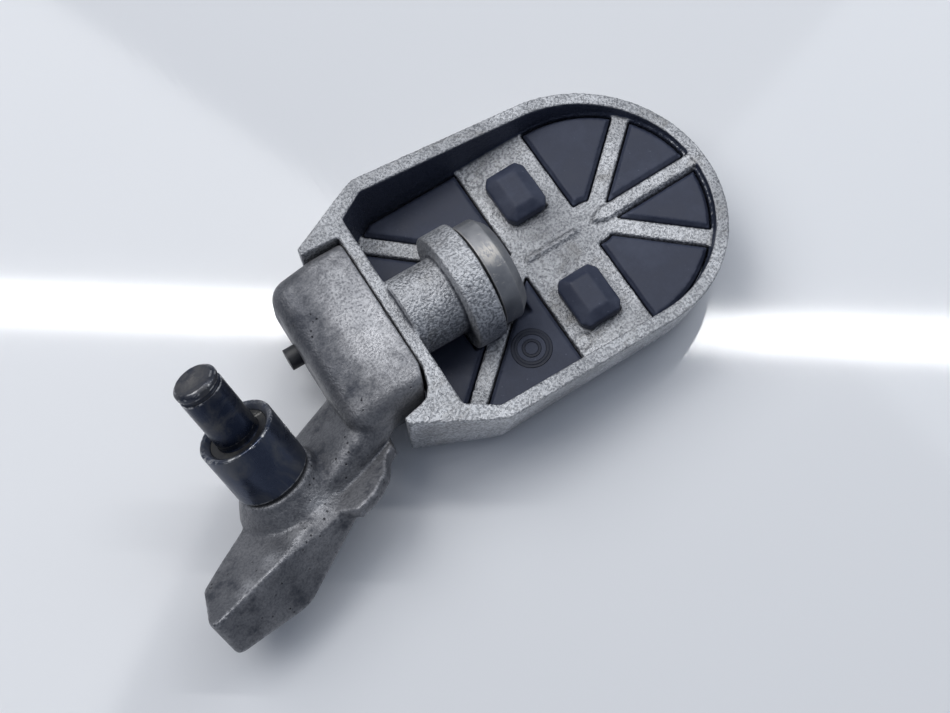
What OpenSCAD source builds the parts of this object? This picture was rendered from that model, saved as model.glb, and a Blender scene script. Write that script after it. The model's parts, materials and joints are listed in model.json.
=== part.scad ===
// Foot peg: a cast pad with a rubber tread, rocking on a spindle in rubber bushes, carried by a
// forged arm that folds about a grooved hinge pin.
// Frame: the origin is on the hinge axis, at the seat where the pivot sleeve meets the arm's boss.
// +X runs outboard along the spindle, +Z is the side away from the foot, the tread faces -Z.

/* [Pad] */
// Distance of the round end's centre from the end wall's inner face
tip_x = 59; // [57:0.1:61]
// Radius of the round end, at the level of the rim's inner end
tip_r = 40.2; // [39:0.1:41]
// Half-width where the long sides start
side_half_w = 40.9; // [40.5:0.1:42]
// Distance of that corner from the end wall's inner face
side_x = 8.2; // [7:0.1:9]
// Half-width of the pad's inner end
end_half_w = 28.8; // [28.6:0.1:29.2]
// Thickness of the rim along its top
rim_t = 4.8; // [4.4:0.1:5.2]
// Height of the rim above the spindle axis, at the end wall
rim_h = 7.6; // [7.4:0.1:8]
// Fall of the rim towards the round end, in degrees
rim_slope = 6; // [5:0.5:6.5]

/* [Web and tread] */
// Depth of the web's top face below the spindle axis, at the end wall
web_z = 10.4; // [10.2:0.1:10.8]
// Rise of the web towards the round end, in degrees
web_slope = 4; // [3:0.5:4.5]
// Thickness of the web
web_t = 3.6; // [3.2:0.1:4]
// Width of the spokes and ribs
spoke_w = 4.7; // [4:0.1:6]
// Angle of the outer spokes from the pad's middle line
spoke_angle = 42; // [38:1:46]
// Inner and outer edges of the bridge that crosses the web
bridge_x = [36.6, 58.3];
// Distance of the two retaining nubs from the middle line
nub_y = 18.4; // [17:0.1:20]
// Depth of the tread's face below the spindle axis
tread_z = 21.5; // [21:0.1:22]
// Pitch of the bars across the tread
bar_pitch = 8.4; // [7:0.1:10]

/* [Spindle and bushes] */
// Radius of the spindle
spindle_r = 5.5; // [5:0.1:5.8]
// Radius of the barrel that is cast on the pad
barrel_r = 11.2; // [11:0.1:12]
// Radius of the collar at the barrel's outboard end
collar_r = 16.8; // [16.4:0.1:17]
// Radius of the spindle's head
head_r = 14.8; // [14:0.1:15.2]
// Length of the barrel with its collar, from the end wall's inner face
barrel_len = 22.2; // [21.5:0.1:23]

/* [Hinge] */
// Radius of the hinge pin
pin_r = 6; // [5.5:0.1:6.5]
// Length of the hinge pin above its seat
pin_len = 36; // [34:0.1:38]
// Outer radius of the pivot sleeve
sleeve_r = 10.5; // [10:0.1:11]
// Length of the pivot sleeve
sleeve_len = 17; // [15:0.1:18]
// Lean of the hinge axis away from +Z, towards +Y and towards -X, in degrees
hinge_lean = [35, 10.5];

/* [Arm] */
// Depth of the arm's bar below its top face, along the hinge axis
arm_t = 11; // [10:0.1:11.2]
// Depth of the hinge boss below the same face, down to the table
boss_t = 12.6; // [12:0.1:12.6]
// Height of the flared seat that the pivot sleeve stands on
boss_h = 3.6; // [3:0.1:4]
// Radius of the boss around the hinge pin
boss_r = 12.4; // [12:0.1:12.4]

/* [Hidden] */

$fn = 64;
eps = 0.01;
far = 200;

// Where the spindle axis leaves the end wall's inner face, from the hinge seat
pad_at = [50.04, 18.04, 1.1];
rim_top = rim_h + 2;
end_x = -14.8;
skirt_z = 18;
skirt_inset = 4.8;
cavity_inset = 2.2;
web_inset = 1.6;
plate_inset = 2.8;
boss_gap = 0.5;
block_rise = 0.4;
mid_spoke_w = 3.8;
mid_spoke_len = tip_x + tip_r - rim_t - bridge_x[1] - 3;

// The pocket in the pad's end that the arm's head sits in
pocket_x = -3.6;
pocket_far_y = 26.6;
pocket_near = [[-5.2, -22], [-7.2, -24.6], [-9, -25.4], [-15.4, -26.8]];

// The arm's head, in the pad's frame
head_face_x = -4;
head_out_x = -27.6;
head_y = [-20.7, 25.8];
head_z = [-13, 8.4];
spindle_end_x = -22.5;

// Spindle head and the faces next to it
washer_t = 0.8;
seam = 0.1;
disc_x = barrel_len + washer_t + 2 * seam;
disc_t = 7.8;

// Bushes: the shells are pressed into the pad, and the cores turn with the spindle
small_bore_r = 9;
small_bore_x = 0.5;
seal_x = [0.6, 3.4];
small_bush_x = [3.6, 13];
large_bore_r = 13.5;
large_bore_x = 15.8;
shell_t = 0.8;
core_fit = 0.03;
small_core_r = 7.2;
large_core_r = 8;

// Outlines in the hinge's frame and in the pad's frame
lobe_outline = [[6, 8], [27, 9], [29.8, 6.7], [29.5, -5.2], [26.9, -7.2], [24.7, -12.9],
                [20.2, -17.3], [14.6, -19.4], [4, -12]];
flank_outline = [[-3.9, -15.3], [-5.7, -20.6], [-7.7, -23.1], [-9.2, -24], [-15.9, -25.4],
                 [-15.9, -31], [8, -44], [20, -15.3]];

// The pin that limits how far the pad rocks, in the pad's frame
limit_at = [0, 9.7, -8.2];
limit_r = 3.1;
limit_play = 1;

// Hinge details along the hinge axis
pin_foot = boss_t + boss_h;
groove_z = 2.2;
groove_w = 1.2;
groove_depth = 0.7;
relief_z = [15.7, 17.3];
relief_depth = 0.25;
liner_r = 8;
liner_recess = 1.4;
pin_fit = 0.05;
hinge_washer_t = 0.9;

metal_grey = [0.62, 0.63, 0.65];
forged_grey = [0.36, 0.36, 0.38];
dark_steel = [0.2, 0.21, 0.25];
bright_steel = [0.55, 0.55, 0.56];
rubber_black = [0.13, 0.14, 0.18];
bronze = [0.55, 0.45, 0.3];

module at_pad() {
    translate(pad_at) children();
}

module at_hinge() {
    rotate([-hinge_lean[0], -hinge_lean[1], 0]) children();
}

// The hinge's frame, moved down to the foot of the arm's boss
module at_arm() {
    at_hinge() translate([0, 0, -boss_h]) children();
}

// A round body along +X, from x0 to x1
module shaft(r, x0, x1) {
    translate([x0, 0, 0]) rotate([0, 90, 0]) cylinder(r = r, h = x1 - x0);
}

module ring_x(r_out, r_in, x0, x1) {
    difference() {
        shaft(r_out, x0, x1);
        shaft(r_in, x0 - 1, x1 + 1);
    }
}

// Angle, seen from the round end's centre, where a straight side meets the round end
function meet_angle(inset) =
    let (dx = tip_x - side_x, dy = side_half_w - inset)
    180 - atan2(dy, dx) - acos((tip_r - inset) / norm([dx, dy]));

// The pad's outline, drawn in by inset, from x0 outwards
module pad_plan(inset, x0, half_w0) {
    r = tip_r - inset;
    a = meet_angle(inset);
    // The sides cross the round end just inside its tangent points
    meet = [tip_x + (r - 0.3) * cos(a), (r - 0.3) * sin(a)];
    corner = [side_x, side_half_w - inset];
    translate([tip_x, 0]) circle(r);
    polygon([[x0, -half_w0], [corner[0], -corner[1]], [meet[0], -meet[1]],
             meet, corner, [x0, half_w0]]);
}

module outer_plan(inset) {
    pad_plan(inset, end_x, end_half_w - inset / 2);
}

module cavity_plan(inset) {
    wall = rim_t + inset;
    pad_plan(wall, 0, side_half_w - wall - side_x * tan(33));
}

// The solid between one outline at a low level and another at the rim's level
module drafted(z_low) {
    hull() {
        translate([0, 0, -z_low]) linear_extrude(eps) children(0);
        translate([0, 0, rim_top]) linear_extrude(eps) children(1);
    }
}

// Everything above the sloping top of the rim
module above_rim() {
    translate([0, 0, rim_h]) rotate([0, rim_slope, 0])
        translate([-far / 2, -far / 2, 0]) cube([far * 2, far, far]);
}

// A bar of the given width from the origin along an angle
module bar_2d(angle, len) {
    rotate(angle) translate([0, -spoke_w / 2]) square([len, spoke_w]);
}

module spokes_2d() {
    translate([bridge_x[1] + 1.7, 0]) {
        for (a = [-spoke_angle, 0, spoke_angle]) bar_2d(a, 60);
        circle(6.5);
    }
    translate([bridge_x[0], 0]) for (s = [-1, 1]) bar_2d(180 + s * spoke_angle, 60);
}

// The web's own frame: its origin is on the top face, and it rises outboard
module on_web() {
    translate([0, 0, -web_z]) rotate([0, -web_slope, 0]) children();
}

// The windows of the web, outboard and inboard of the bridge
module windows_2d(inset) {
    difference() {
        cavity_plan(inset);
        spokes_2d();
        translate([bridge_x[0], -far / 2]) square([bridge_x[1] - bridge_x[0], far]);
    }
}

module nub_hole_2d() {
    for (s = [-1, 1]) translate([(bridge_x[0] + bridge_x[1]) / 2, s * nub_y])
        square([10.4, 15.4], center = true);
}

module pocket() {
    translate([0, 0, -40]) linear_extrude(80)
        polygon(concat([[pocket_x, pocket_far_y], [pocket_x, -17]], pocket_near,
                       [[-60, -26.8], [-60, pocket_far_y]]));
}

module pad_frame() {
    color(metal_grey) at_pad() difference() {
        union() {
            difference() {
                drafted(skirt_z) {
                    outer_plan(skirt_inset);
                    outer_plan(0);
                }
                drafted(skirt_z + 1) {
                    cavity_plan(cavity_inset);
                    cavity_plan(0);
                }
                above_rim();
            }
            on_web() {
                translate([0, 0, -web_t]) linear_extrude(web_t) difference() {
                    cavity_plan(web_inset - 0.8);
                    windows_2d(web_inset);
                    nub_hole_2d();
                }
                // Raised middle spoke, and the low bar on the bridge
                translate([bridge_x[1] + 2, 0, -1]) linear_extrude(2) polygon([
                    [0, -0.4], [4, -mid_spoke_w / 2], [mid_spoke_len, -mid_spoke_w / 2],
                    [mid_spoke_len, mid_spoke_w / 2], [4, mid_spoke_w / 2], [0, 0.4]]);
                translate([bridge_x[0] + 2.4, -0.6, -1]) cube([16.6, 1.2, 1.7]);
            }
            shaft(barrel_r, -eps, barrel_len);
            shaft(collar_r, barrel_len - 8.2, barrel_len);
        }
        pocket();
        shaft(spindle_r + 0.4, pocket_x - 1, barrel_len + 1);
        shaft(small_bore_r, small_bore_x, barrel_len + 1);
        shaft(large_bore_r, large_bore_x, barrel_len + 1);
        // Room for the spindle's head above and beside the web
        shaft(head_r + 0.8, barrel_len + eps, disc_x + disc_t + 0.8);
        // Blind slot for the limit pin
        translate([pocket_x - 1, limit_at[1], limit_at[2]]) rotate([0, 90, 0])
            cylinder(r = limit_r + limit_play, h = 3.1);
    }
}

// One retaining nub: a block with chamfered shoulders and a flat top
module nub() {
    hull() {
        translate([0, 0, 0.4]) linear_extrude(3.2) square([9.2, 15.8], center = true);
        translate([0, 0, 0.4]) linear_extrude(2.9) square([12.6, 11.6], center = true);
        translate([0, 0, 5.2]) linear_extrude(0.4) square([5.4, 9.8], center = true);
    }
}

module tread_rubber() {
    under = web_t + 0.1;
    color(rubber_black) at_pad() difference() {
        union() {
            // Tread plate with its bars
            difference() {
                translate([0, 0, -tread_z + 2]) linear_extrude(web_z)
                    cavity_plan(plate_inset);
                on_web() translate([-far / 2, -far / 2, -under]) cube([far * 2, far, far]);
            }
            translate([0, 0, -tread_z]) linear_extrude(2.5) intersection() {
                cavity_plan(plate_inset + 1);
                for (x = [1.6 : bar_pitch : tip_x + tip_r])
                    translate([x, -far / 2]) square([bar_pitch - 2.6, far]);
            }
            on_web() {
                // Blocks that fill the windows of the web, with stepped shoulders
                translate([0, 0, -under - 1]) linear_extrude(under + 0.6)
                    offset(delta = -boss_gap) windows_2d(web_inset);
                translate([0, 0, -1]) linear_extrude(1 + block_rise)
                    offset(delta = -boss_gap - 0.7) windows_2d(web_inset);
                // Necks and heads of the nubs
                translate([0, 0, -under - 1]) linear_extrude(under + 2)
                    offset(delta = -boss_gap) nub_hole_2d();
                for (s = [-1, 1])
                    translate([(bridge_x[0] + bridge_x[1]) / 2 - 0.5, s * nub_y - 0.5, 0]) nub();
            }
        }
        // Room under the barrel, the collar and the spindle's head
        shaft(barrel_r + 0.6, -1, barrel_len);
        shaft(collar_r + 0.6, barrel_len - 8.8, barrel_len + 1);
        shaft(head_r + 0.9, barrel_len, disc_x + disc_t + 1.2);
    }
}

module spindle() {
    edge = 2.6;
    color(bright_steel) at_pad() difference() {
        union() {
            shaft(spindle_r, spindle_end_x, disc_x + 1);
            shaft(head_r, disc_x, disc_x + disc_t - edge);
            translate([disc_x + disc_t - edge - eps, 0, 0]) rotate([0, 90, 0])
                cylinder(r1 = head_r, r2 = head_r - edge, h = edge + eps);
        }
        translate([-14, 0, -40]) cylinder(r = 2, h = 44);
    }
}

module cross_pin() {
    color(dark_steel) at_pad() translate([-14, 0, head_z[0] + 0.4]) cylinder(r = 2, h = 17.8);
}

module limit_pin() {
    color(dark_steel) at_pad() translate([0, limit_at[1], limit_at[2]])
        shaft(limit_r, -30.8, pocket_x + 1.6);
}

module bush_core(r, x0, x1) {
    color(bright_steel) at_pad() ring_x(r, spindle_r, x0, x1);
}

module bush_rubber(r_out, r_in, x0, x1) {
    color(rubber_black) at_pad() ring_x(r_out, r_in + core_fit, x0, x1);
}

module bush_shell(r, x0, x1) {
    color(bright_steel) at_pad() ring_x(r, r - shell_t, x0, x1);
}

module inner_bush_core() {
    bush_core(small_core_r, small_bush_x[0], small_bush_x[1]);
}

module inner_bush_rubber() {
    bush_rubber(small_bore_r - shell_t, small_core_r, small_bush_x[0] + 0.4, small_bush_x[1] - 0.4);
}

module inner_bush_shell() {
    bush_shell(small_bore_r, small_bush_x[0] + 0.2, small_bush_x[1] - 0.2);
}

module outer_bush_core() {
    bush_core(large_core_r, large_bore_x + 0.3, barrel_len - 0.1);
}

module outer_bush_rubber() {
    bush_rubber(large_bore_r - shell_t, large_core_r, large_bore_x + 0.6, barrel_len - 0.5);
}

module outer_bush_shell() {
    bush_shell(large_bore_r, large_bore_x + 0.2, barrel_len - 0.3);
}

module inner_thrust_washer() {
    color(dark_steel) at_pad() ring_x(7.4, spindle_r + 0.1, head_face_x - 0.9, pocket_x - 0.15);
}

module outer_thrust_washer() {
    color(dark_steel) at_pad()
        ring_x(head_r - 1, spindle_r + 0.1, barrel_len + seam, disc_x - seam);
}

module spindle_seal() {
    color(rubber_black) at_pad() ring_x(small_bore_r, spindle_r + core_fit, seal_x[0], seal_x[1]);
}

// Head of the arm: a block with a domed outer edge that carries the spindle
module arm_head() {
    r = 6;
    y0 = head_y[0];
    y1 = head_y[1];
    hull() {
        for (y = [y0 + 3, y1 - r]) translate([head_out_x + r, y, head_z[1] - r - 1])
            sphere(r, $fn = 32);
        for (y = [y0 + 3, y1 - 4]) {
            translate([head_out_x + 8, y, head_z[0] + 4]) rotate([0, 90, 0])
                cylinder(r = 4, h = head_face_x - head_out_x - 8, $fn = 32);
            translate([head_face_x - 9, y, head_z[1] - 4]) rotate([0, 90, 0])
                cylinder(r = 4, h = 9, $fn = 32);
            translate([head_out_x + 4, y, head_z[0] + 5]) sphere(4, $fn = 32);
        }
    }
}

// Web from the head's near end down to the hinge boss
module arm_neck() {
    hull() {
        at_pad() translate([head_out_x + 4.2, -17, -8]) sphere(5, $fn = 32);
        at_pad() translate([head_out_x + 5, -8, -12]) sphere(5, $fn = 32);
        at_pad() translate([-13, -17, 0]) sphere(5, $fn = 32);
        at_pad() translate([-13, -12, -9]) sphere(5, $fn = 32);
        at_arm() translate([0, 0, -boss_t]) cylinder(r = boss_r, h = boss_t - 4, $fn = 32);
        at_arm() translate([9, -7, -8]) sphere(4, $fn = 32);
    }
}

// Bar that runs past the hinge to the toe, which rests against the machine
module arm_toe() {
    at_arm() hull() {
        translate([11, -12, -arm_t]) cylinder(r = 4, h = 2.6, $fn = 32);
        translate([2.5, -10, -arm_t]) cylinder(r = 4.4, h = 7, $fn = 32);
        translate([0, -4, -arm_t]) cylinder(r = boss_r - 2, h = arm_t - 4, $fn = 32);
        translate([-11, -20, -20.5]) cylinder(r = 3.4, h = 16.5, $fn = 32);
        translate([-28, -26.5, -16.5]) cylinder(r = 2.4, h = 12.5, $fn = 32);
        translate([-27, -16, -15]) cylinder(r = 2.4, h = 11, $fn = 32);
        translate([-22, -11.5, -14]) cylinder(r = 2.4, h = 10, $fn = 32);
    }
}

// Flat lobe beside the neck, facing the pad
module arm_lobe() {
    at_arm() translate([0, 0, -10]) linear_extrude(3.6) polygon(lobe_outline);
}

// Room for the pad's near flank, which rocks beside the neck
module flank_room() {
    at_pad() translate([0, 0, -30]) linear_extrude(60) polygon(flank_outline);
}

module hinge_arm() {
    color(forged_grey) difference() {
        union() {
            at_pad() arm_head();
            arm_neck();
            arm_toe();
            arm_lobe();
            at_arm() {
                translate([0, 0, -5]) cylinder(r1 = boss_r + 2.4, r2 = boss_r - 0.4, h = 5);
                translate([0, 0, -1]) cylinder(r1 = boss_r - 0.2, r2 = sleeve_r, h = boss_h + 0.4);
                translate([0, 0, -boss_t - 0.8]) cylinder(r = pin_r + 3, h = 6);
            }
        }
        at_pad() {
            shaft(spindle_r, spindle_end_x, head_face_x + 5);
            shaft(7.6, head_face_x - 1, head_face_x + 5);
            translate([0, limit_at[1], limit_at[2]]) shaft(limit_r, head_out_x - 5, head_face_x + 5);
            translate([-14, 0, head_z[0] - 5]) cylinder(r = 2, h = 23);
        }
        at_hinge() {
            translate([0, 0, -pin_foot - 5]) cylinder(r = pin_r, h = pin_foot + 10);
            translate([0, 0, -hinge_washer_t - 0.1]) cylinder(r = boss_r, h = 30);
        }
        flank_room();
    }
}

module pin_groove(z, width, depth) {
    translate([0, 0, z]) difference() {
        cylinder(r = pin_r + 1, h = width);
        translate([0, 0, -1]) cylinder(r = pin_r - depth, h = width + 2);
    }
}

module hinge_pin() {
    color(dark_steel) at_hinge() difference() {
        union() {
            translate([0, 0, -pin_foot]) cylinder(r = pin_r, h = pin_foot + pin_len - 0.8);
            translate([0, 0, pin_len - 0.8 - eps]) cylinder(r1 = pin_r, r2 = pin_r - 0.8, h = 0.8);
        }
        pin_groove(pin_len - groove_z - groove_w, groove_w, groove_depth);
        pin_groove(relief_z[0], relief_z[1] - relief_z[0], relief_depth);
    }
}

module hinge_washer() {
    color(rubber_black) at_hinge() translate([0, 0, -hinge_washer_t - 0.05]) difference() {
        cylinder(r = sleeve_r - 0.7, h = hinge_washer_t);
        translate([0, 0, -1]) cylinder(r = pin_r + pin_fit, h = hinge_washer_t + 2);
    }
}

module pivot_sleeve() {
    mouth = 1.3;
    color(dark_steel) at_hinge() difference() {
        cylinder(r = sleeve_r, h = sleeve_len);
        translate([0, 0, -1]) cylinder(r = liner_r, h = sleeve_len + 2);
        translate([0, 0, sleeve_len - mouth])
            cylinder(r1 = liner_r, r2 = liner_r + mouth + eps, h = mouth + eps);
    }
}

module sleeve_bush() {
    color(bronze) at_hinge() difference() {
        translate([0, 0, 0.3]) cylinder(r = liner_r, h = sleeve_len - 0.3 - liner_recess);
        translate([0, 0, -1]) cylinder(r = pin_r + pin_fit, h = sleeve_len + 2);
    }
}

pivot_sleeve();
sleeve_bush();
hinge_arm();
hinge_pin();
hinge_washer();
spindle();
cross_pin();
limit_pin();
inner_bush_core();
outer_bush_core();
inner_thrust_washer();
outer_thrust_washer();
spindle_seal();
pad_frame();
tread_rubber();
inner_bush_shell();
inner_bush_rubber();
outer_bush_shell();
outer_bush_rubber();
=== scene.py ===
import json
import math

import bpy
import numpy as np
from mathutils import Euler, Matrix, Vector


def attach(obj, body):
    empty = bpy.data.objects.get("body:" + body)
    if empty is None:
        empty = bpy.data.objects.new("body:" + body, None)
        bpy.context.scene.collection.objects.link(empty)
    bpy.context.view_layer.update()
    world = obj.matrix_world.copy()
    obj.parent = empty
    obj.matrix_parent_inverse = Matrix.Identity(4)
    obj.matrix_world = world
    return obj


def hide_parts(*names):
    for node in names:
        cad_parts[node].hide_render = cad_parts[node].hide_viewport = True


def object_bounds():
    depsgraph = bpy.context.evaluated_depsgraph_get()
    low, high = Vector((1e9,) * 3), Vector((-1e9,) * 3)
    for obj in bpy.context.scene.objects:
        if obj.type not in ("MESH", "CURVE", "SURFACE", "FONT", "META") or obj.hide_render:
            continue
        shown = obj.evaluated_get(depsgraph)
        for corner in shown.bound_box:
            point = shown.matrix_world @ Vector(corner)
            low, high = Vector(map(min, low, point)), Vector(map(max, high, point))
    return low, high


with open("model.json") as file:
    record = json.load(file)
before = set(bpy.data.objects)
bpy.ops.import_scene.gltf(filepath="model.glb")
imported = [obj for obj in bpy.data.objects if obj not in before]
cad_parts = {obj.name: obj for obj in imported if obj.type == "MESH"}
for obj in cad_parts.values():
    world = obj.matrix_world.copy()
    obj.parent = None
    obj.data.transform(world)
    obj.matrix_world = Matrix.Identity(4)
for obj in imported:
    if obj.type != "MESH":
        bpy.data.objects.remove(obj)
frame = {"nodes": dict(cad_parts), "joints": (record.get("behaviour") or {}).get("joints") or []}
cad_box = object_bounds()
MM = 0.001

# ---------------------------------------------------------------- camera and lamps

CAM_AT = Vector((-6.86, -122.66, 353.80)) * MM
CAM_RIGHT = Vector((0.849, -0.528, -0.019))
CAM_BACK = Vector((-0.178, -0.321, 0.930))
LENS_PER_WIDTH = 1.526
SENSOR = 36.0
floor_z = cad_box[0].z


def make_camera():
    data = bpy.data.cameras.new("camera")
    data.sensor_width = SENSOR
    data.lens = SENSOR * LENS_PER_WIDTH
    data.clip_start, data.clip_end = 0.01, 20.0
    cam = bpy.data.objects.new("camera", data)
    bpy.context.scene.collection.objects.link(cam)
    back = CAM_BACK.normalized()
    right = (CAM_RIGHT - back * CAM_RIGHT.dot(back)).normalized()
    up = back.cross(right)
    turn = Matrix((right, up, back)).transposed()
    cam.matrix_world = Matrix.Translation(CAM_AT) @ turn.to_4x4()
    bpy.context.scene.camera = cam


make_camera()


def mirrored_in_table(spot, height):
    """Where a lamp at this height has to be, for the camera to see its image at a table point."""
    ray = (spot - CAM_AT).normalized()
    return spot + Vector((ray.x, ray.y, -ray.z)) * (height / -ray.z)


def area_light(name, at, aim, size, power, color=(1, 1, 1)):
    data = bpy.data.lights.new(name, "AREA")
    data.shape = "RECTANGLE"
    data.size, data.size_y = size
    data.energy = power
    data.color = color
    lamp = bpy.data.objects.new(name, data)
    bpy.context.scene.collection.objects.link(lamp)
    lamp.location = at
    lamp.rotation_euler = (Vector(aim) - Vector(at)).to_track_quat("-Z", "Y").to_euler()
    return lamp


def strip_light(start, end, width, height, power):
    """A long tube lamp whose mirror image crosses the table as a pale band."""
    a, b = mirrored_in_table(start, height), mirrored_in_table(end, height)
    spread = (a - b).length / (start - end).length
    lamp = area_light("strip", (a + b) / 2, (a + b) / 2 - Vector((0, 0, 1)),
                      ((a - b).length, width * spread), power)
    x = (b - a).normalized()
    z = (Vector((0, 0, 1)) - x * x.z).normalized()
    turn = Matrix((x, z.cross(x), z)).transposed()
    lamp.matrix_world = Matrix.Translation((a + b) / 2) @ turn.to_4x4()


# ---------------------------------------------------------------- material nodes


class Look:
    """Short calls for building one material's nodes."""

    def __init__(self, name):
        self.mat = bpy.data.materials.new(name)
        self.mat.use_nodes = True
        self.nodes = self.mat.node_tree.nodes
        self.links = self.mat.node_tree.links
        self.bsdf = self.nodes["Principled BSDF"]
        self.where = self.nodes.new("ShaderNodeTexCoord").outputs["Object"]

    def put(self, target, value):
        if isinstance(value, bpy.types.NodeSocket):
            self.links.new(value, target)
        else:
            target.default_value = value

    def node(self, kind, **inputs):
        n = self.nodes.new(kind)
        for key, value in inputs.items():
            self.put(n.inputs[key.replace("_", " ")], value)
        return n

    def noise(self, scale, detail=3.0, rough=0.55, distort=0.0, where=None):
        n = self.node("ShaderNodeTexNoise", Vector=where or self.where, Scale=scale,
                      Detail=detail, Roughness=rough, Distortion=distort)
        return n.outputs["Fac"]

    def cells(self, scale):
        n = self.node("ShaderNodeTexVoronoi", Vector=self.where, Scale=scale)
        return n.outputs["Distance"]

    def scaled(self, scale, turn=(0, 0, 0)):
        n = self.node("ShaderNodeMapping", Vector=self.where, Scale=scale, Rotation=turn)
        return n.outputs["Vector"]

    def ramp(self, fac, *stops):
        n = self.nodes.new("ShaderNodeMapRange")
        n.interpolation_type = "SMOOTHSTEP"
        (a, va), (b, vb) = stops
        for key, value in (("Value", fac), ("From Min", a), ("From Max", b),
                           ("To Min", va), ("To Max", vb)):
            self.put(n.inputs[key], value)
        return n.outputs["Result"]

    def mix(self, fac, a, b):
        n = self.nodes.new("ShaderNodeMix")
        n.data_type = "RGBA"
        self.put(n.inputs["Factor"], fac)
        for key, value in (("A", a), ("B", b)):
            socket = [s for s in n.inputs if s.name == key and s.type == "RGBA"][0]
            self.put(socket, value if isinstance(value, bpy.types.NodeSocket) else (*value, 1.0))
        return [s for s in n.outputs if s.type == "RGBA"][0]

    def math(self, op, a, b=0.5):
        n = self.nodes.new("ShaderNodeMath")
        n.operation = op
        self.put(n.inputs[0], a)
        self.put(n.inputs[1], b)
        return n.outputs[0]

    def vector(self, op, a, b=None):
        n = self.nodes.new("ShaderNodeVectorMath")
        n.operation = op
        self.put(n.inputs[0], a)
        if b is not None:
            self.put(n.inputs[1], b)
        return n.outputs["Value" if op == "LENGTH" else "Vector"]

    def attribute(self, name):
        n = self.nodes.new("ShaderNodeAttribute")
        n.attribute_name = name
        return n.outputs["Fac"]

    def span(self, point, shape=(1.0, 1.0, 1.0)):
        """Distance of the surface from a point in metres, with each axis scaled by the shape."""
        away = self.vector("SUBTRACT", self.where, tuple(point))
        return self.vector("LENGTH", self.vector("MULTIPLY", away, shape))

    def near(self, point, reach, shape=(1.0, 1.0, 1.0)):
        """1 at a point, falling to 0 at a ragged edge around it."""
        ragged = self.math("MULTIPLY", self.noise(330.0, 4.0, 0.7), reach)
        return self.ramp(self.math("ADD", self.span(point, shape), ragged),
                         (reach * 0.6, 1.0), (reach * 1.5, 0.0))

    def ring(self, point, radius, width):
        """1 on a thin circle around a point, 0 elsewhere."""
        away = self.math("ABSOLUTE", self.math("SUBTRACT", self.span(point), radius))
        return self.ramp(away, (width * 0.3, 1.0), (width * 0.5, 0.0))

    def bump(self, height, strength, distance, under=None):
        n = self.node("ShaderNodeBump", Height=height, Strength=strength, Distance=distance)
        if under is not None:
            self.links.new(under, n.inputs["Normal"])
        return n.outputs["Normal"]

    def finish(self, color, rough, metal, normal=None, **extra):
        self.put(self.bsdf.inputs["Base Color"], color if isinstance(color, bpy.types.NodeSocket)
                 else (*color, 1.0))
        self.put(self.bsdf.inputs["Roughness"], rough)
        self.put(self.bsdf.inputs["Metallic"], metal)
        if normal is not None:
            self.links.new(normal, self.bsdf.inputs["Normal"])
        for key, value in extra.items():
            self.bsdf.inputs[key.replace("_", " ")].default_value = value
        return self.mat


DRIED_OIL = (0.16, 0.14, 0.11)
# Painted shade colour for the pad's inner walls.
INNER_WALL_SHADE = (0.035, 0.046, 0.085)
# Colour of the painted highlight on the arm, also used for its rubbed wear.
SHEEN_AND_BARE_METAL = (0.62, 0.62, 0.64)
PIT = (0.02, 0.02, 0.025)
WORN_PIN = (0.20, 0.19, 0.18)


def cast_metal(name, light, dark, grime_and_shade, marks=(), dark_patches=()):
    """Sand-cast aluminium: grain, painted shade in its corners and on its inner walls, and
    darkened spots around given points.
    """
    k = Look(name)
    patch = k.noise(45.0, 4.0, 0.6)
    fine = k.noise(1450.0, 2.0, 0.6)
    speck = k.noise(700.0, 3.0, 0.7)
    color = k.mix(k.ramp(patch, (0.35, 0.0), (0.65, 1.0)), dark, light)
    color = k.mix(k.ramp(fine, (0.4, 0.55), (0.58, 0.0)), color, grime_and_shade)
    color = k.mix(k.ramp(speck, (0.3, 0.7), (0.38, 0.0)), color, grime_and_shade)
    oil = k.noise(60.0, 5.0, 0.7, 0.5, where=k.scaled((1.0, 1.6, 1.0)))
    color = k.mix(k.ramp(oil, (0.54, 0.0), (0.7, 0.35)), color, DRIED_OIL)
    # Painted shade: corners and creases, found by the hollow attribute, are darkened.
    hollow = k.ramp(k.math("ADD", k.attribute("hollow"), k.math("MULTIPLY", patch, 0.25)),
                    (0.2, 0.0), (0.75, 0.95))
    color = k.mix(hollow, color, grime_and_shade)
    # Painted shade: the upright walls that face the pad's middle are darkened.
    inner_wall_shade = k.ramp(k.math("ADD", k.attribute("inside"), k.math("MULTIPLY", patch, 0.3)),
                  (0.35, 0.0), (0.75, 0.94))
    color = k.mix(inner_wall_shade, color, INNER_WALL_SHADE)
    edge = k.ramp(k.math("ADD", k.attribute("edge"), k.math("MULTIPLY", speck, 0.4)),
                  (0.45, 0.0), (0.95, 0.5))
    color = k.mix(edge, color, [c * 0.45 for c in light])
    # Darkens the surface around given points: on the pad, painted shadow around the nubs along
    # with darker patches.
    for point, reach, shape, depth in dark_patches:
        color = k.mix(k.math("MULTIPLY", k.near(point, reach, shape), depth), color, grime_and_shade)
    normal = k.bump(k.noise(240.0, 2.0), 0.12, 0.0006)
    for point, radius in marks:
        circle = k.ring(point, radius, 0.0007)
        color = k.mix(k.math("MULTIPLY", circle, 0.35), color, grime_and_shade)
        normal = k.bump(circle, 0.6, 0.0003, normal)
    normal = k.bump(fine, 0.9, 0.0005, normal)
    rough = k.ramp(fine, (0.3, 0.38), (0.7, 0.66))
    return k.finish(color, rough, 0.7, normal)


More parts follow.
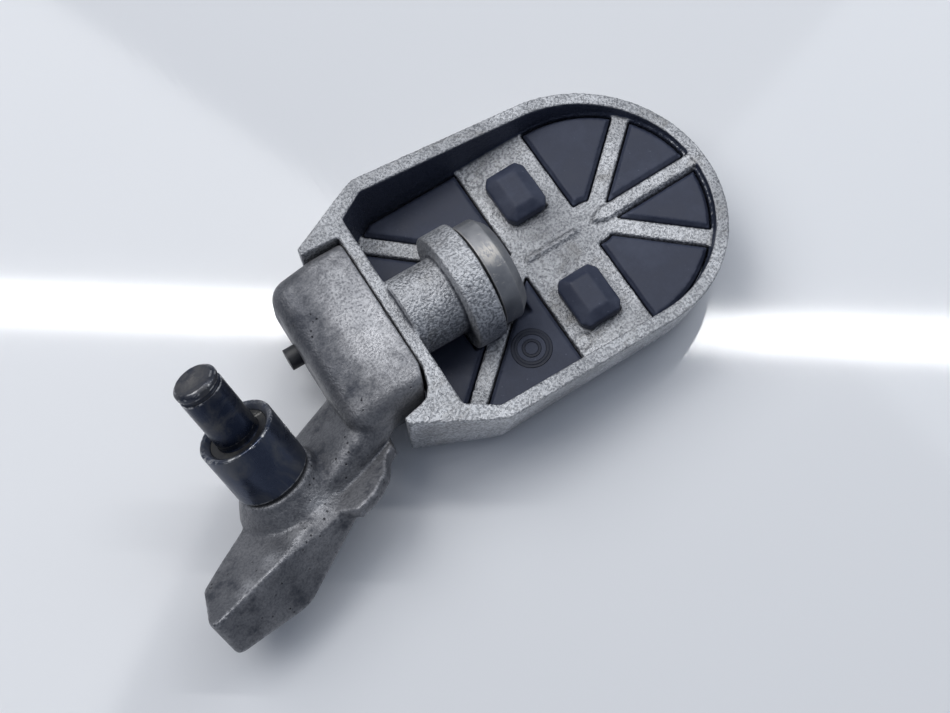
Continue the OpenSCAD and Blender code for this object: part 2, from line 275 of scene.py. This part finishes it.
def forged_metal(name, light, dark, grime_and_shade, bright, highlights_and_rubs, dark_patches):
    """Forged steel with pits, worn edges, painted highlights with rubbed wear, painted shade in
    its hollows and oily patches.
    """
    k = Look(name)
    patch = k.noise(38.0, 5.0, 0.65, 0.4)
    fine = k.noise(1500.0, 2.0, 0.6)
    stain = k.noise(120.0, 4.0, 0.7)
    color = k.mix(k.ramp(patch, (0.36, 0.0), (0.64, 1.0)), dark, light)
    color = k.mix(k.ramp(stain, (0.5, 0.0), (0.72, 0.8)), color, grime_and_shade)
    color = k.mix(k.ramp(fine, (0.4, 0.3), (0.55, 0.0)), color, grime_and_shade)
    # Painted shade: corners and creases, found by the hollow attribute, are darkened.
    color = k.mix(k.ramp(k.attribute("hollow"), (0.25, 0.0), (0.9, 0.9)), color, grime_and_shade)
    for point, reach, shape in dark_patches:
        color = k.mix(k.math("MULTIPLY", k.near(point, reach, shape), 0.6), color, grime_and_shade)
    pits = k.ramp(k.cells(520.0), (0.08, 0.0), (0.2, 1.0))
    pits = k.math("MAXIMUM", pits, k.ramp(k.noise(160.0, 2.0), (0.52, 1.0), (0.62, 0.0)))
    color = k.mix(pits, PIT, color)
    worn = k.math("MULTIPLY", k.ramp(k.attribute("edge"), (0.1, 0.0), (0.6, 0.5)),
                  k.ramp(k.noise(900.0, 3.0, 0.75), (0.42, 0.0), (0.6, 1.0)))
    color = k.mix(worn, color, bright)
    # Brightens the metal near given points: painted highlight, with rubbed wear.
    for point, reach, shape, shine in highlights_and_rubs:
        bright_patch = k.ramp(fine, (0.35, 0.4), (0.55, 1.0))
        bright_patch = k.math("MULTIPLY", k.near(point, reach, shape), bright_patch)
        color = k.mix(k.math("MULTIPLY", bright_patch, shine), color, SHEEN_AND_BARE_METAL)
    rough = k.ramp(stain, (0.35, 0.36), (0.7, 0.58))
    normal = k.bump(k.noise(150.0, 3.0), 0.35, 0.0008)
    normal = k.bump(fine, 0.5, 0.0004, normal)
    normal = k.bump(pits, 0.5, 0.0004, normal)
    return k.finish(color, rough, 0.55, normal)


def oily_steel(name, base, dusty, rough_low=0.22, rough_high=0.5, scuff=(0.5, 0.5, 0.5),
               worn_at=None):
    """Dark steel with oil smears, bare along its edges."""
    k = Look(name)
    smear = k.noise(90.0, 5.0, 0.65, 0.8)
    color = k.mix(k.ramp(smear, (0.42, 0.0), (0.68, 1.0)), base, dusty)
    marks = k.noise(420.0, 3.0, 0.75)
    worn = k.math("MULTIPLY", k.ramp(k.attribute("edge"), (0.25, 0.0), (0.7, 1.0)),
                  k.ramp(marks, (0.45, 0.0), (0.6, 1.0)))
    color = k.mix(worn, color, scuff)
    if worn_at is not None:
        patch = k.math("MULTIPLY", k.near(*worn_at), k.ramp(marks, (0.35, 0.5), (0.6, 1.0)))
        color = k.mix(patch, color, WORN_PIN)
    rough = k.ramp(smear, (0.3, rough_low), (0.7, rough_high))
    normal = k.bump(k.noise(260.0, 3.0), 0.15, 0.0004)
    normal = k.bump(marks, 0.15, 0.0002, normal)
    return k.finish(color, rough, 0.75, normal)


def turned_steel(name, base, dull, scratch=(0.7, 0.66, 0.6), scrape=None):
    """Machined steel with fine turning rings, scratches and, where wanted, one bright scrape."""
    k = Look(name)
    smear = k.noise(110.0, 4.0, 0.6)
    color = k.mix(k.ramp(smear, (0.35, 0.0), (0.7, 1.0)), dull, base)
    rings = k.noise(1.0, 3.0, 0.6, where=k.scaled((1800.0, 60.0, 60.0)))
    scuff = k.ramp(k.noise(1.0, 4.0, 0.8, where=k.scaled((260.0, 700.0, 150.0), (0.4, 0.2, 0.7))),
                   (0.62, 0.0), (0.7, 0.7))
    color = k.mix(scuff, color, scratch)
    if scrape is not None:
        streaks = k.noise(1.0, 3.0, 0.8, where=k.scaled((900.0, 300.0, 300.0), (0.3, 0.0, 0.5)))
        mark = k.math("MULTIPLY", k.near(*scrape), k.ramp(streaks, (0.42, 0.0), (0.52, 1.0)))
        color = k.mix(mark, color, scratch)
    worn = k.ramp(k.attribute("edge"), (0.35, 0.0), (0.9, 0.4))
    color = k.mix(worn, color, scratch)
    rough = k.ramp(smear, (0.3, 0.42), (0.7, 0.6))
    return k.finish(color, rough, 0.7, k.bump(rings, 0.2, 0.00015))


DIAL_RINGS = (0.0052, 0.0043, 0.0022)


def moulded_rubber(name, base, dusty, dial=None):
    """Dusty black rubber, with plain moulded rings around a point if one is given, darkened as
    painted shade in their grooves.
    """
    k = Look(name)
    dust = k.noise(70.0, 5.0, 0.7)
    fine = k.noise(2200.0, 2.0, 0.5)
    color = k.mix(k.ramp(dust, (0.4, 0.0), (0.75, 0.8)), base, dusty)
    flecks = k.ramp(k.noise(900.0, 2.0, 0.8), (0.69, 0.0), (0.76, 0.4))
    color = k.mix(flecks, color, [c * 2.5 + 0.05 for c in dusty])
    edge = k.ramp(k.attribute("edge"), (0.3, 0.0), (0.9, 0.25))
    color = k.mix(edge, color, [c * 1.8 for c in dusty])
    normal = k.bump(k.noise(180.0, 3.0), 0.12, 0.0005)
    if dial is not None:
        for radius in DIAL_RINGS:
            # Painted shade: each moulded ring is darkened as the shade in its groove, and bumped.
            circle = k.ring(dial, radius, 0.001)
            color = k.mix(k.math("MULTIPLY", circle, 0.55), color, [c * 0.12 for c in base])
            normal = k.bump(circle, 1.0, 0.0006, normal)
    normal = k.bump(fine, 0.12, 0.0002, normal)
    rough = k.ramp(dust, (0.3, 0.46), (0.7, 0.64))
    return k.finish(color, rough, 0.0, normal, Specular_IOR_Level=0.4)


PALE_FROM = (-0.25, 0.3, 0.0)


def table_top(name):
    """A pale, glossy table with painted light, a little brighter away from one of its corners."""
    k = Look(name)
    cloud = k.noise(3.0, 3.0, 0.5)
    color = k.mix(k.ramp(cloud, (0.3, 0.0), (0.7, 1.0)), (0.80, 0.81, 0.83), (0.86, 0.865, 0.88))
    # Painted light: the table brightens with distance from PALE_FROM.
    across = k.ramp(k.span(PALE_FROM), (0.15, 0.0), (0.6, 1.0))
    color = k.mix(across, color, (0.95, 0.955, 0.965))
    dirt = k.ramp(k.noise(420.0, 2.0, 0.9), (0.8, 0.0), (0.84, 0.5))
    color = k.mix(dirt, color, (0.3, 0.3, 0.32))
    lines = k.noise(1.0, 2.0, 0.8, where=k.scaled((700.0, 25.0, 1.0), (0, 0, 0.5)))
    normal = k.bump(lines, 0.03, 0.0002)
    return k.finish(color, 0.07, 0.0, normal, Specular_IOR_Level=0.6)


# ---------------------------------------------------------------- meshes


def neighbour_sum(edges, count, values):
    a, b = edges[:, 0], edges[:, 1]
    total = np.zeros((count, values.shape[1]))
    for c in range(values.shape[1]):
        total[:, c] = (np.bincount(a, values[b, c], count) + np.bincount(b, values[a, c], count))
    return total


def mesh_arrays(me):
    co = np.zeros(len(me.vertices) * 3, np.float32)
    me.vertices.foreach_get("co", co)
    ed = np.zeros(len(me.edges) * 2, np.int32)
    me.edges.foreach_get("vertices", ed)
    no = np.zeros(len(me.vertices) * 3, np.float32)
    me.vertices.foreach_get("normal", no)
    return co.reshape(-1, 3).astype(float), ed.reshape(-1, 2), no.reshape(-1, 3).astype(float)


def relaxed(edges, values, rounds):
    """The values after each was drawn towards its neighbours' mean, round after round."""
    count = len(values)
    degree = np.maximum(np.bincount(edges.ravel(), minlength=count), 1)[:, None]
    for _ in range(rounds):
        values = 0.5 * values + 0.5 * neighbour_sum(edges, count, values) / degree
    return values


def store(me, key, values):
    layer = me.attributes.new(key, "FLOAT", "POINT")
    layer.data.foreach_set("value", values.astype(np.float32))


def mark_edges(me, reach, full):
    """Stores how sharply each point stands out (edge) or lies in a corner (hollow)."""
    co, ed, no = mesh_arrays(me)
    wide = relaxed(ed, co, reach)
    out = relaxed(ed, ((co - wide) * no).sum(1)[:, None] / full, 2)
    store(me, "edge", np.clip(out[:, 0], 0, 1))
    store(me, "hollow", np.clip(-out[:, 0], 0, 1))


# The pad's open side in plan, in metres from where the spindle leaves the end wall.
NEAR_MIDDLE = 0.02
ROUND_END_R = 0.045
CLEAR_OF_MIDDLE = 0.025


def mark_inside(me, axis_at):
    """Marks the upright walls that look towards the pad's middle, which the pad's look darkens as
    painted shade.
    """
    co, ed, no = mesh_arrays(me)
    off = co - np.array(axis_at)
    middle = np.clip(off[:, 0], NEAR_MIDDLE, co[:, 0].max() - axis_at[0] - ROUND_END_R)
    inward = -((off[:, 0] - middle) * no[:, 0] + off[:, 1] * no[:, 1])
    reach = np.hypot(off[:, 0] - middle, off[:, 1])
    wall = (inward > 0.7 * reach) & (reach > CLEAR_OF_MIDDLE) & (np.abs(no[:, 2]) < 0.6)
    value = (wall & (off[:, 0] > 0.0)).astype(float)[:, None]
    store(me, "inside", relaxed(ed, value, 4)[:, 0])


def open_bore(me, axis_at, radius, ends):
    """Takes the wall of a bore along x out to its CAD radius, where smoothing narrowed it."""
    for v in me.vertices:
        off = Vector((0, v.co.y - axis_at.y, v.co.z - axis_at.z))
        if ends[0] < v.co.x < ends[1] and 0.75 * radius < off.length < radius:
            v.co += off.normalized() * (radius - off.length)


def applied(ob):
    """The object's mesh with its modifiers carried out."""
    bpy.context.view_layer.update()
    dg = bpy.context.evaluated_depsgraph_get()
    me = bpy.data.meshes.new_from_object(ob.evaluated_get(dg))
    old = ob.data
    ob.modifiers.clear()
    ob.data = me
    bpy.data.meshes.remove(old)
    return me


def add(ob, kind, **values):
    m = ob.modifiers.new(kind.lower(), kind)
    for key, value in values.items():
        setattr(m, key, value)
    return m


def stand_in(name, node, body, material):
    """A new piece that starts from a CAD node's mesh and replaces it."""
    me = frame["nodes"][node].data.copy()
    me.name = name
    ob = bpy.data.objects.new(name, me)
    bpy.context.scene.collection.objects.link(ob)
    add(ob, "WELD", merge_threshold=2e-6)
    applied(ob)
    ob.data.materials.clear()
    ob.data.materials.append(material)
    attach(ob, body)
    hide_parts(node)
    return ob


# The remesh works on a grid. Turned like this, no flat face of the part lies nearly along it,
# so its steps are short and the smoothing takes them out.
SKIN_TURN = Euler((math.radians(33), math.radians(27), math.radians(19))).to_matrix().to_4x4()


def cast_skin(ob, voxel, rounds, reach, full):
    """Rounds every edge as a casting or moulding has it, then marks edges and corners."""
    ob.data.transform(SKIN_TURN)
    add(ob, "REMESH", mode="VOXEL", voxel_size=voxel, adaptivity=0.0, use_smooth_shade=True)
    add(ob, "SMOOTH", factor=0.5, iterations=rounds)
    me = applied(ob)
    me.transform(SKIN_TURN.inverted())
    me.shade_smooth()
    mark_edges(me, reach, full)


def turned_skin(ob, width, reach, full):
    """Bevels the sharp edges of a machined piece and marks them."""
    add(ob, "BEVEL", width=width, segments=3, limit_method="ANGLE", angle_limit=math.radians(35))
    add(ob, "REMESH", mode="VOXEL", voxel_size=0.00022, adaptivity=0.0, use_smooth_shade=True)
    add(ob, "SMOOTH", factor=0.5, iterations=3)
    me = applied(ob)
    me.shade_smooth()
    mark_edges(me, reach, full)


# ---------------------------------------------------------------- pieces and their looks

fold, rock = [[j for j in frame["joints"] if j["name"] == name][0] for name in ("fold", "rock")]


def on_pad(x, y, z):
    """A point in millimetres from the place where the pad's spindle leaves the end wall."""
    return Vector(rock["pos_m"]) + Vector((x, y, z)) * MM


HINGE = Vector(fold["axis"])
HINGE_X = Vector((HINGE.z, 0, -HINGE.x)).normalized()
HINGE_Y = HINGE.cross(HINGE_X)
SEAT_H = 3.6  # millimetres, from the arm's face up to the foot of the sleeve


def on_arm(x, y, z):
    """A point in millimetres in the hinge's frame, from the arm's face on the hinge axis."""
    return (HINGE_X * x + HINGE_Y * y + HINGE * (z - SEAT_H)) * MM


# Places on the pieces, with how far each mark reaches in metres.
PUNCH_MARKS = [(on_pad(40.0, 29.0, -7.5), 0.0024), (on_pad(39.0, -28.0, -7.5), 0.0024)]
DIAL_AT = on_pad(26.3, -22.2, -8.1)
SCRAPE_ON_DISC = (on_pad(26.0, -1.5, 13.5), 0.0045)
# Painted highlight: the first point brightens the top of the arm's head; the four along the ridge
# are a painted highlight with rubbed wear.
HIGHLIGHTS_AND_RUBS = [(on_pad(-8.5, 2.0, 9.0), 0.0125, (1.0, 0.42, 1.0), 0.75)]
HIGHLIGHTS_AND_RUBS += [(on_arm(-18.0 + 8.0 * i, -23.8 + 3.5 * i, -3.6), 0.0042, (1, 1, 1), 0.4)
           for i in range(4)]
OILY_ON_ARM = [(on_pad(-22.5, 4.0, 5.0), 0.0095, (1.0, 0.4, 1.0)),
               (on_pad(-14.0, -17.0, 2.0), 0.008, (0.7, 1.0, 1.0))]
# Darkened spots on the pad: painted shadow around the nubs on the web, along with darker patches.
SHADE_AND_PATCHES_ON_PAD = [(on_pad(46.0, 17.5, -9.5), 0.0088, (1, 1, 1), 0.8),
               (on_pad(46.5, -19.5, -9.5), 0.0088, (1, 1, 1), 0.8),
               (on_pad(15.0, -12.0, -2.0), 0.007, (1, 1, 1), 0.8),
               (on_pad(50.0, 0.0, -9.5), 0.016, (0.8, 0.55, 1.0), 0.35)]
PIN_END = (HINGE * 0.0362, 0.0062)
SLOT_AT = on_pad(0, 9.7, -8.2)
SLOT_R = 0.0041
SLOT_ENDS = (on_pad(-4.8, 0, 0).x, on_pad(-1.4, 0, 0).x)

pad_look = cast_metal("pad_casting", (0.80, 0.805, 0.82), (0.54, 0.545, 0.56),
                      (0.05, 0.055, 0.07), PUNCH_MARKS, SHADE_AND_PATCHES_ON_PAD)
arm_look = forged_metal("arm_forging", (0.24, 0.24, 0.25), (0.14, 0.143, 0.155),
                        (0.035, 0.04, 0.055), (0.42, 0.42, 0.44), HIGHLIGHTS_AND_RUBS, OILY_ON_ARM)
sleeve_look = oily_steel("sleeve_steel", (0.052, 0.064, 0.10), (0.125, 0.13, 0.145))
pin_look = oily_steel("pin_steel", (0.022, 0.030, 0.055), (0.10, 0.10, 0.105), 0.2, 0.42,
                      worn_at=PIN_END)
limit_look = oily_steel("limit_pin_steel", (0.05, 0.052, 0.062), (0.11, 0.11, 0.11), 0.4, 0.6)
spindle_look = turned_steel("spindle_steel", (0.42, 0.42, 0.43), (0.28, 0.285, 0.30),
                            scrape=SCRAPE_ON_DISC)
rubber_look = moulded_rubber("tread_rubber", (0.031, 0.038, 0.066), (0.072, 0.082, 0.120), DIAL_AT)
bush_rubber_look = moulded_rubber("bush_rubber", (0.02, 0.02, 0.022), (0.05, 0.05, 0.052))
washer_look = oily_steel("washer_steel", (0.03, 0.03, 0.034), (0.07, 0.07, 0.07), 0.4, 0.6)
bush_look = turned_steel("bush_steel", (0.5, 0.5, 0.5), (0.4, 0.4, 0.4))
liner_look = turned_steel("bush_bronze", (0.10, 0.098, 0.092), (0.04, 0.04, 0.045))

pad = stand_in("pad", "pad_frame", "pad", pad_look)
cast_skin(pad, 0.0004, 8, 10, 0.00022)
mark_inside(pad.data, rock["pos_m"])
open_bore(pad.data, SLOT_AT, SLOT_R, SLOT_ENDS)
tread = stand_in("tread", "tread_rubber", "pad", rubber_look)
cast_skin(tread, 0.0004, 5, 10, 0.00022)
arm = stand_in("arm", "hinge_arm", "arm", arm_look)
cast_skin(arm, 0.0003, 44, 28, 0.00025)
pin = stand_in("pivot_pin", "hinge_pin", "arm", pin_look)
turned_skin(pin, 0.0003, 10, 0.00008)
sleeve = stand_in("sleeve", "pivot_sleeve", "mount", sleeve_look)
turned_skin(sleeve, 0.0004, 10, 0.00008)
disc = stand_in("spindle_disc", "spindle", "arm", spindle_look)
turned_skin(disc, 0.0006, 10, 0.00008)

LEFT_AS_CAD = {
    "sleeve_bush": liner_look, "hinge_washer": bush_rubber_look, "cross_pin": pin_look,
    "limit_pin": limit_look, "inner_bush_core": bush_look, "outer_bush_core": bush_look,
    "inner_bush_shell": bush_look, "outer_bush_shell": bush_look,
    "inner_bush_rubber": bush_rubber_look, "outer_bush_rubber": bush_rubber_look,
    "spindle_seal": bush_rubber_look, "inner_thrust_washer": washer_look,
    "outer_thrust_washer": washer_look}
for node, look in LEFT_AS_CAD.items():
    ob = frame["nodes"][node]
    if not ob.material_slots:
        ob.data.materials.append(None)
    for s in ob.material_slots:
        s.material = look

# ---------------------------------------------------------------- stage

FLOOR_GAP = 0.00005

bpy.ops.mesh.primitive_plane_add(size=6.0, location=(0.05, 0.0, floor_z - FLOOR_GAP))
floor = bpy.context.object
floor.name = "floor"
floor.data.materials.append(table_top("table_top"))

centre = (cad_box[0] + cad_box[1]) / 2
BAND_START = Vector((-0.063, 0.108, floor_z))
BAND_END = Vector((0.215, -0.085, floor_z))
strip_light(BAND_START, BAND_END, 0.0115, 1.0, 3.2)
area_light("overhead", centre + Vector((-0.5, 0.7, 1.1)), centre, (1.3, 1.0), 9.0)
area_light("fill", centre + Vector((0.9, 0.1, 0.9)), centre, (0.8, 0.8), 2.0, (0.9, 0.95, 1.0))

world = bpy.data.worlds.new("world")
bpy.context.scene.world = world
world.use_nodes = True
world.node_tree.nodes["Background"].inputs["Color"].default_value = (0.58, 0.66, 0.82, 1.0)
world.node_tree.nodes["Background"].inputs["Strength"].default_value = 0.3

bpy.context.scene.view_settings.view_transform = "Standard"
